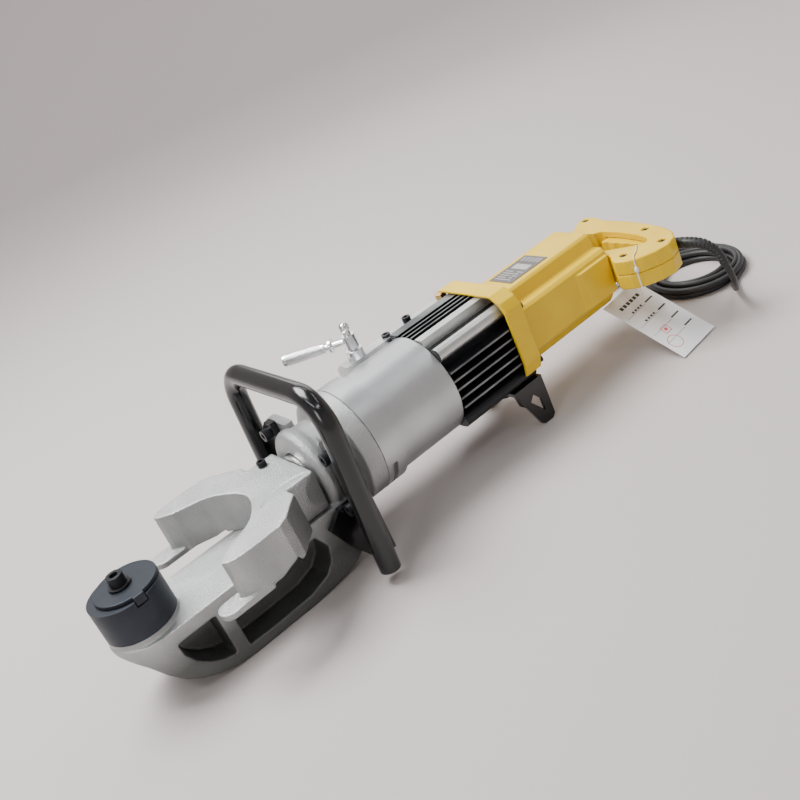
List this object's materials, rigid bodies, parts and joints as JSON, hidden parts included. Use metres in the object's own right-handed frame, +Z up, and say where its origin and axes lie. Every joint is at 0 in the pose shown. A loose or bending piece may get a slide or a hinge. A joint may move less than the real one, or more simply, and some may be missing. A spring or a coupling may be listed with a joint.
{
  "type": "hydraulic rebar bender",
  "caption": "Hand-held electro-hydraulic rebar bender: a forked shoe on a ram pushes bar past a roller on a fixed arm.",
  "frame": {"origin": "under the middle of the machine's box, on the ground, without the cord", "axes": "+X forward along the ram towards the roller, +Z up, +Y to the side where the rear handle's loop ends"},
  "size_m": [0.855, 0.2362, 0.2065],
  "materials": {
    "cast_paint": "silver hammer paint on a sand casting",
    "satin_silver": "smooth silver paint, satin",
    "ground_steel": "ground and polished",
    "dark_steel": "blackened",
    "roller_black": "matt blue-black oxide",
    "gloss_black": "gloss black enamel",
    "black_anodised": "black anodised extrusion with bright fin edges",
    "bare_aluminium": "machined",
    "chrome": "bright, knurled where gripped",
    "brass": "machined",
    "yellow_plastic": "fine moulded texture",
    "plate": "printed plate with plain rules",
    "black_plastic": "moulded",
    "black_rubber": "moulded, slightly glossy",
    "seal_rubber": "oil-proof rubber",
    "copper_iron": "laminated iron with enamelled windings",
    "white_card": "white coated card"
  },
  "bodies": {
    "root": {"head_casting": "cast_paint", "cylinder_barrel": "satin_silver", "lock_ring": "satin_silver", "spring_guide": "ground_steel", "front_bearing": "ground_steel", "rear_bearing": "ground_steel", "pump_plungers": "ground_steel", "return_spring": "ground_steel", "roller_post": "ground_steel", "gusset_bolts": "dark_steel", "collar_bolts": "dark_steel", "roller_bolt": "dark_steel", "roller_washer": "dark_steel", "manifold_screws": "dark_steel", "foot_bolts": "dark_steel", "handle_screws": "dark_steel", "carry_handle": "gloss_black", "gusset_near": "gloss_black", "gusset_far": "gloss_black", "rear_foot": "gloss_black", "pump_body": "black_anodised", "end_cover": "bare_aluminium", "pump_block": "bare_aluminium", "manifold_block": "bare_aluminium", "valve_gland": "chrome", "gland_bush": "brass", "brass_plug": "brass", "brush_holders": "brass", "motor_collar": "yellow_plastic", "motor_housing": "yellow_plastic", "handle_shell_top": "yellow_plastic", "handle_shell_bottom": "yellow_plastic", "nameplate": "plate", "switch_body": "black_plastic", "carbon_brushes": "black_plastic", "cord_guard": "black_rubber", "power_cord": "black_rubber", "cord_coil": "black_rubber", "power_plug": "black_rubber", "wiper_seal": "seal_rubber", "stator": "copper_iron", "hang_tag": "white_card", "tag_tie": "white_card"},
    "fork": {"ram": "ground_steel", "piston": "ground_steel", "piston_seal": "seal_rubber", "bending_fork": "cast_paint", "fork_screw": "dark_steel"},
    "roller": {"bending_roller": "roller_black", "lock_disc": "roller_black"},
    "release_lever": {"valve_spindle": "chrome", "lever_arm": "chrome", "lever_grip": "chrome"},
    "trigger": {"trigger": "yellow_plastic"},
    "rotor": {"motor_shaft": "ground_steel", "armature_core": "copper_iron", "commutator": "brass", "cooling_fan": "black_plastic", "cam": "ground_steel", "cam_bearing": "ground_steel"}
  },
  "joints": [
    {"name": "fork_slide", "type": "slide", "parent": "root", "child": "fork", "axis": [1, 0, 0], "range_m": [0, 0.07], "stiffness_N_per_m": 800, "springref_m": -0.05, "deforming": ["return_spring"]},
    {"name": "roller_spin", "type": "hinge", "parent": "root", "child": "roller", "pos_m": [0.323, -0.00931, 0.098], "axis": [0, 0, 1], "continuous": true},
    {"name": "release_valve", "type": "hinge", "parent": "root", "child": "release_lever", "pos_m": [-0.001, -0.05431, 0.158], "axis": [0, 0, 1], "range_deg": [0, 90]},
    {"name": "trigger_press", "type": "slide", "parent": "root", "child": "trigger", "axis": [-1, 0, 0], "range_m": [0, 0.005], "stiffness_N_per_m": 600, "springref_m": -0.004},
    {"name": "motor_spin", "type": "hinge", "parent": "root", "child": "rotor", "pos_m": [-0.137, -0.00931, 0.098], "axis": [1, 0, 0], "continuous": true}
  ]
}
